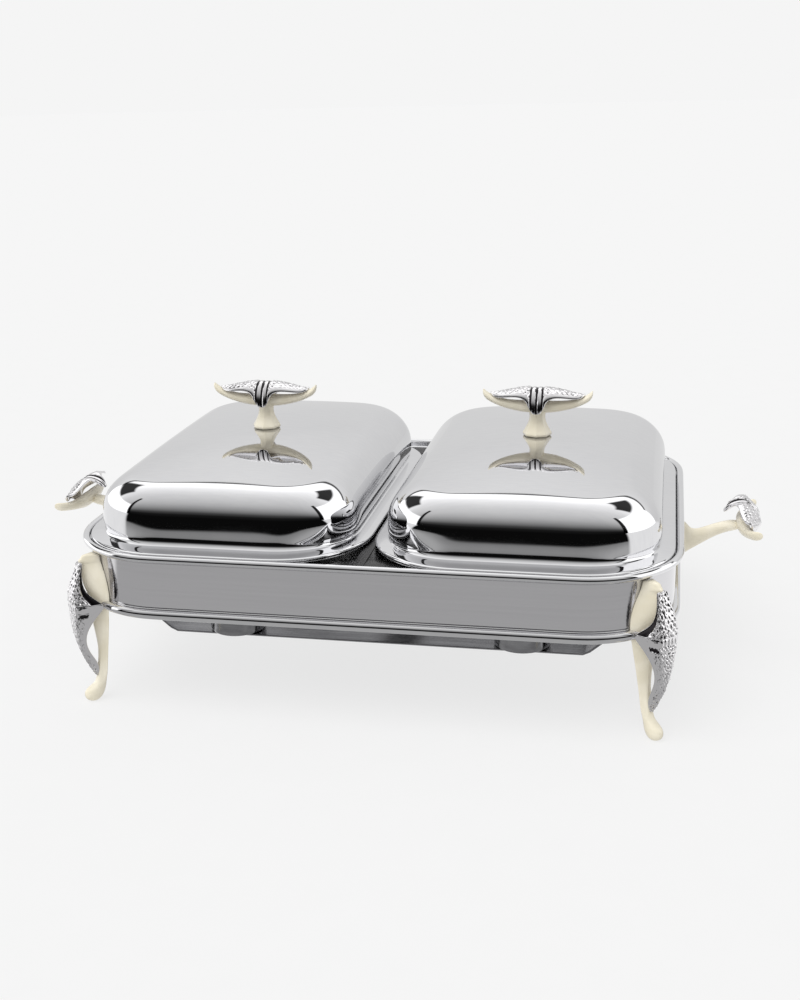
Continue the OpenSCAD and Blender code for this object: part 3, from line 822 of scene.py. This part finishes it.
# distance out from the band, height, half width, half thickness
armRows = [(0.15, 101.6, 6.0, 15.4), (1.4, 101.4, 6.9, 16.2), (4.0, 101.0, 6.8, 16.0),
           (7.0, 100.6, 5.9, 14.4), (9.6, 100.4, 5.3, 11.8), (12.6, 100.4, 5.0, 9.2),
           (17.0, 101.6, 4.8, 7.2), (23.0, 104.6, 4.8, 5.9), (31.0, 108.8, 4.8, 5.2),
           (40.0, 112.2, 5.2, 4.8), (51.0, 114.4, 6.6, 4.9)]
armRings = []
for index, row in enumerate(armRows):
    # the rings lean back as the arm climbs
    lean = math.radians(max(0, min(index - 4, 5)) * 6)
    upward = (-math.sin(lean), 0, math.cos(lean))
    armRings.append(ovalRing((row[0], 0, row[1]), (0, 1, 0), upward, row[2], row[3], 12))
armMaster = skinRings("armMaster", armRings, 2)
smoothShade(armMaster)


def joinCopies(name, parts):
    # copies of the masters joined into one casting
    copies = [copyPiece(master, name + "Part", matrix) for master, matrix in parts]
    deselectAll()
    for piece in copies:
        piece.select_set(True)
    bpy.context.view_layer.objects.active = copies[0]
    bpy.ops.object.join()
    copies[0].name = name
    copies[0].data.name = name
    return copies[0]


for side, sign in (("left", -1), ("right", 1)):
    knobPlace = (Matrix.Translation((sign * grip["knobX"] * mm, 0, grip["knobBar"] * mm))
                 @ Matrix.Rotation(math.radians(90), 4, "Z"))
    stem = joinCopies("knob_casting_" + side, [(stemMaster, knobPlace), (barMaster, knobPlace)])
    finishPiece(stem, "lid_" + side, "ivory_enamel", ivoryEnamel, "knob_stem_" + side)
    leaf = copyPiece(leafMaster, "knob_crest_" + side, knobPlace)
    finishPiece(leaf, "lid_" + side, "silver_plate", silverPlate, "knob_leaf_" + side)
    turnOut = Matrix.Rotation(0 if sign > 0 else math.pi, 4, "Z")
    gripPlace = (turnOut @ Matrix.Translation((grip["handleX"] * mm, 0, grip["handleZ"] * mm))
                 @ Matrix.Rotation(math.radians(grip["lean"]), 4, "Y"))
    armPlace = turnOut @ Matrix.Translation((grip["armRoot"] * mm, 0, 0))
    barPlace = (turnOut @ Matrix.Translation((grip["barX"] * mm, 0, grip["barZ"] * mm))
                @ Matrix.Rotation(math.radians(grip["barLean"]), 4, "Y"))
    arm = joinCopies("handle_casting_" + side, [(armMaster, armPlace), (barMaster, barPlace)])
    finishPiece(arm, "frame", "ivory_enamel", ivoryEnamel, "handle_arm_" + side)
    leaf = copyPiece(leafMaster, "handle_crest_" + side, gripPlace)
    finishPiece(leaf, "frame", "silver_plate", silverPlate, "handle_leaf_" + side)
for master in (stemMaster, barMaster, leafMaster, armMaster):
    dropPiece(master)
print("knobs and handles made")


# burners

railShape = {"half": 164.0, "tabFrom": 207.0, "tabTo": 222.0, "z": 44.0, "tabZ": 80.2, "thick": 1.5,
             "width": 26.0, "edge": 0.8, "y": 105.0}
cupShape = {"x": 114.8, "steps": 40}


def buildRail():
    # a flat bar's edge is drawn out along its bends and given its thickness
    low = railShape["z"]
    high = railShape["tabZ"]
    half = railShape["half"]
    tab = railShape["tabFrom"]
    path = [(-railShape["tabTo"], high), (-tab - 3, high), (-tab + 1.5, high - 1.2), (-half - 3, low + 2.4),
            (-half + 2, low), (-half + 12, low), (-80, low), (0, low)]
    path += [(-x, z) for x, z in reversed(path[:-1])]
    deselectAll()
    bpy.ops.mesh.primitive_plane_add(size=0.01)
    piece = bpy.context.object
    piece.name = "railMaster"
    bpy.ops.object.mode_set(mode="EDIT")
    mesh = bmesh.from_edit_mesh(piece.data)
    side = railShape["width"] / 2
    rowYs = [-side, railShape["edge"] - side, 0.0, side - railShape["edge"], side]
    bmesh.ops.delete(mesh, geom=mesh.verts[:], context="VERTS")
    ring = [mesh.verts.new((path[0][0] * mm, y * mm, path[0][1] * mm)) for y in rowYs]
    for a, b in zip(ring, ring[1:]):
        mesh.edges.new((a, b))
    bmesh.update_edit_mesh(piece.data)
    bpy.ops.mesh.select_mode(type="VERT")
    bpy.ops.mesh.select_all(action="SELECT")
    for before, after in zip(path, path[1:]):
        move = ((after[0] - before[0]) * mm, 0, (after[1] - before[1]) * mm)
        bpy.ops.mesh.extrude_region_move(TRANSFORM_OT_translate={"value": move})
    tidyMesh()
    if piece.data.polygons[0].normal.z < 0:
        piece.data.flip_normals()
    addModifier(piece, "SOLIDIFY", thickness=railShape["thick"] * mm, offset=-1.0)
    addModifier(piece, "BEVEL", width=0.35 * mm, segments=2, limit_method="ANGLE")
    smoothShade(piece, 40)
    return piece


railMaster = buildRail()
cupSection = [(2.2, 0.05), (19.6, 0.05), (21.4, 0.6), (22.1, 1.8), (22.2, 5.0), (22.2, 12.0), (22.2, 18.6),
              (22.5, 19.8), (23.2, 20.7), (23.15, 21.5), (22.4, 21.95), (21.6, 21.6), (21.2, 20.4),
              (21.15, 12.0), (21.1, 4.0), (20.5, 1.9), (19.2, 1.1), (2.2, 1.1)]


def buildCup():
    # the section of the cup's wall is spun round
    piece = startRing("cupMaster", [(r * mm, 0, z * mm) for r, z in cupSection])
    bpy.ops.mesh.spin(steps=cupShape["steps"], angle=math.radians(360), center=(0, 0, 0), axis=(0, 0, 1))
    tidyMesh()
    addModifier(piece, "SUBSURF", levels=1, render_levels=1)
    smoothShade(piece, 45)
    return piece


cupMaster = buildCup()
for front, signY in (("front", -1), ("back", 1)):
    rail = copyPiece(railMaster, "rail_bar_" + front, Matrix.Translation((0, signY * railShape["y"] * mm, 0)))
    finishPiece(rail, "frame", "burner_steel", burnerSteel, "burner_rail_" + front)
    for side, signX in (("left", -1), ("right", 1)):
        spot = Vector((signX * cupShape["x"], signY * railShape["y"], railShape["z"])) * mm
        cup = copyPiece(cupMaster, "cup_shell_" + front + "_" + side, Matrix.Translation(spot))
        finishPiece(cup, "frame", "burner_steel", burnerSteel, "burner_cup_" + front + "_" + side)
dropPiece(railMaster)
dropPiece(cupMaster)
print("burners made")


# parts kept from the frame

fasteners = ("leg_screws", "handle_screws", "knob_screw_left", "knob_screw_right", "knob_washer_left",
             "knob_washer_right", "cup_rivets", "rail_screws", "rail_nuts")
# the centre divider takes the same near-black steel: painted shade
keptParts = {"centre_divider": paintedShadeSteel}
keptParts.update({name: zincFasteners for name in fasteners})
for name, material in keptParts.items():
    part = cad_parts[name]
    part.data.materials.clear()
    part.data.materials.append(material)


# floor, light and camera

studio = {"paper": 0.913, "floorShade": 0.160, "floorGlow": 0.735, "ambient": 0.60, "sun": 1.9,
          "sunAngle": 55.0, "sunFrom": (-0.35, -0.45, 1.0), "domeRadius": 9.0, "floorRadius": 24.0,
          "boxLight": 1.55}
# light of the dome by its angle over the object, from the front's ground to the back's
archLight = [(-20, 0.003), (0, 0.003), (12, 0.012), (20, 0.07), (27, 0.22), (36, 0.40), (45, 0.55),
             (55, 0.67), (67, 0.78), (78, 0.86), (90, 1.0), (105, 1.2), (118, 1.5), (140.6, 1.5), (142, 0.10),
             (144.2, 0.10), (145.6, 0.93), (163, 0.79), (180, 0.74), (200, 0.74)]


def buildFloor():
    # pale paper that takes only a soft shade
    deselectAll()
    bpy.ops.mesh.primitive_circle_add(vertices=96, radius=studio["floorRadius"], fill_type="NGON")
    floor = bpy.context.object
    floor.name = "paper_floor"
    material, board = newMaterial("palePaper")
    mottle = board.grain(30.0, 2.0) * 0.01 + studio["floorShade"]
    tint = board.blend(mottle, (0.0, 0.0, 0.0), (1.0, 1.0, 1.0))
    diffuse = board.node("ShaderNodeBsdfDiffuse", {}, Color=tint)
    glow = board.node("ShaderNodeEmission", {}, (1.0, 1.0, 1.0, 1.0), studio["floorGlow"])
    board.surface(board.node("ShaderNodeAddShader", {}, diffuse, glow))
    floor.data.materials.append(material)
    floor.visible_glossy = False
    floor.visible_diffuse = True
    return floor


def glossyOnly(piece):
    piece.visible_camera = False
    piece.visible_diffuse = False
    piece.visible_transmission = False
    piece.visible_volume_scatter = False
    piece.visible_shadow = False


def buildDome():
    # soft boxes all round: only polished metal sees them
    deselectAll()
    bpy.ops.mesh.primitive_uv_sphere_add(segments=64, ring_count=32, radius=studio["domeRadius"])
    dome = bpy.context.object
    dome.name = "softbox_dome"
    material, board = newMaterial("softboxes")
    x, y, z = board.apart(board.place())
    flat = (x * x + y * y) ** 0.5
    height = z.math("ARCTAN2", flat) * (180 / math.pi)
    turn = x.math("ARCTAN2", -y) * (180 / math.pi)
    arch = (z.math("ARCTAN2", -y) * (180 / math.pi) + 20.0) / 220.0
    stops = [((place + 20) / 220, level / 2) for place, level in archLight]
    light = board.node("ShaderNodeValToRGB", {"stops": stops}, arch)
    level = board.apart(light)[0] * 2.0
    rightBox = turn.window(66, 128, 1.0) * height.window(-40, 40, 1.5)
    leftBox = turn.window(-128, -64, 1.0) * height.window(-40, 24, 1.5)
    edges = (turn.window(60, 66, 1.0) + turn.window(-64, -59, 1.0)) * height.window(-40, 46, 1.5)
    rightWedge = turn.window(104, 152, 3.0) * height.window(42, 60, 2.0)
    leftWedge = turn.window(-134, -98, 3.0) * height.window(25, 46, 2.0)
    dark = (edges + (rightWedge + leftWedge)).lesser(1.0)
    boxes = (rightBox + leftBox).lesser(1.0)
    level = level * (1.0 - boxes) + boxes * studio["boxLight"]
    level = level * (1.0 - dark * 0.97)
    board.surface(board.node("ShaderNodeEmission", {}, level, 1.0))
    dome.data.materials.append(material)
    glossyOnly(dome)
    return dome


def buildTable():
    # what polished metal sees of the table: grey close in front, white to the sides, dark beyond
    deselectAll()
    bpy.ops.mesh.primitive_circle_add(vertices=96, radius=studio["domeRadius"] * 1.05, fill_type="NGON")
    table = bpy.context.object
    table.name = "table_shine"
    bpy.ops.object.mode_set(mode="EDIT")
    bpy.ops.mesh.select_all(action="SELECT")
    bpy.ops.transform.translate(value=(0, 0, 0.0002))
    bpy.ops.object.mode_set(mode="OBJECT")
    material, board = newMaterial("tableShine")
    x, y, z = board.apart(board.place())
    turn = x.math("ARCTAN2", -y) * (180 / math.pi)
    front = turn.window(-62, 63, 2.0)
    outX = (abs(x) - 0.19).greater(0.0)
    away = (outX * outX + y * y).math("SQRT")
    near = 1.0 - away.step(0.69, 0.73)
    frontLevel = near * (0.46 - away.step(0.54, 0.72) * 0.22) + 0.004
    sideLevel = 0.76 + abs(turn).window(63, 130, 4.0) * 0.24
    level = front * frontLevel + (1.0 - front) * sideLevel
    board.surface(board.node("ShaderNodeEmission", {}, level, 1.0))
    table.data.materials.append(material)
    glossyOnly(table)
    return table


def buildBackdrop():
    # paper all round, seen by the camera only
    deselectAll()
    bpy.ops.mesh.primitive_uv_sphere_add(segments=48, ring_count=24, radius=studio["floorRadius"] * 1.2)
    backdrop = bpy.context.object
    backdrop.name = "paper_backdrop"
    material, board = newMaterial("paperBackdrop")
    board.surface(board.node("ShaderNodeEmission", {}, (1.0, 1.0, 1.0, 1.0), studio["paper"]))
    backdrop.data.materials.append(material)
    glossyOnly(backdrop)
    backdrop.visible_camera = True
    backdrop.visible_glossy = False
    return backdrop


buildFloor()
buildDome()
buildTable()
buildBackdrop()

world = bpy.data.worlds.new("studioAir")
bpy.context.scene.world = world
world.use_nodes = True
worldBoard = Board(world.node_tree)
air = worldBoard.node("ShaderNodeBackground", {}, (1.0, 1.0, 1.0, 1.0), studio["ambient"])
worldBoard.node("ShaderNodeOutputWorld", {}, air)

deselectAll()
bpy.ops.object.light_add(type="SUN")
sun = bpy.context.object
sun.name = "soft_sun"
sun.data.energy = studio["sun"]
sun.data.angle = math.radians(studio["sunAngle"])
sun.rotation_euler = Vector(studio["sunFrom"]).to_track_quat("Z", "Y").to_euler()
sun.visible_glossy = False

view = {"place": (0.2139, -1.0627, 0.4636), "target": (-0.0009, 0.0, 0.1232), "roll": -1.22, "lens": 48.22}
deselectAll()
bpy.ops.object.camera_add(location=view["place"])
camera = bpy.context.object
camera.name = "view_camera"
camera.data.lens = view["lens"]
camera.data.sensor_width = 36.0
camera.data.clip_end = 200.0
forward = (Vector(view["target"]) - Vector(view["place"])).normalized()
level = forward.cross(Vector((0, 0, 1))).normalized()
upright = level.cross(forward)
roll = math.radians(view["roll"])
right = level * math.cos(roll) + upright * math.sin(roll)
up = upright * math.cos(roll) - level * math.sin(roll)
turned = Matrix((right, up, -forward)).transposed()
camera.rotation_euler = turned.to_euler()
bpy.context.scene.camera = camera
bpy.context.scene.view_settings.view_transform = "Standard"
print("studio made")
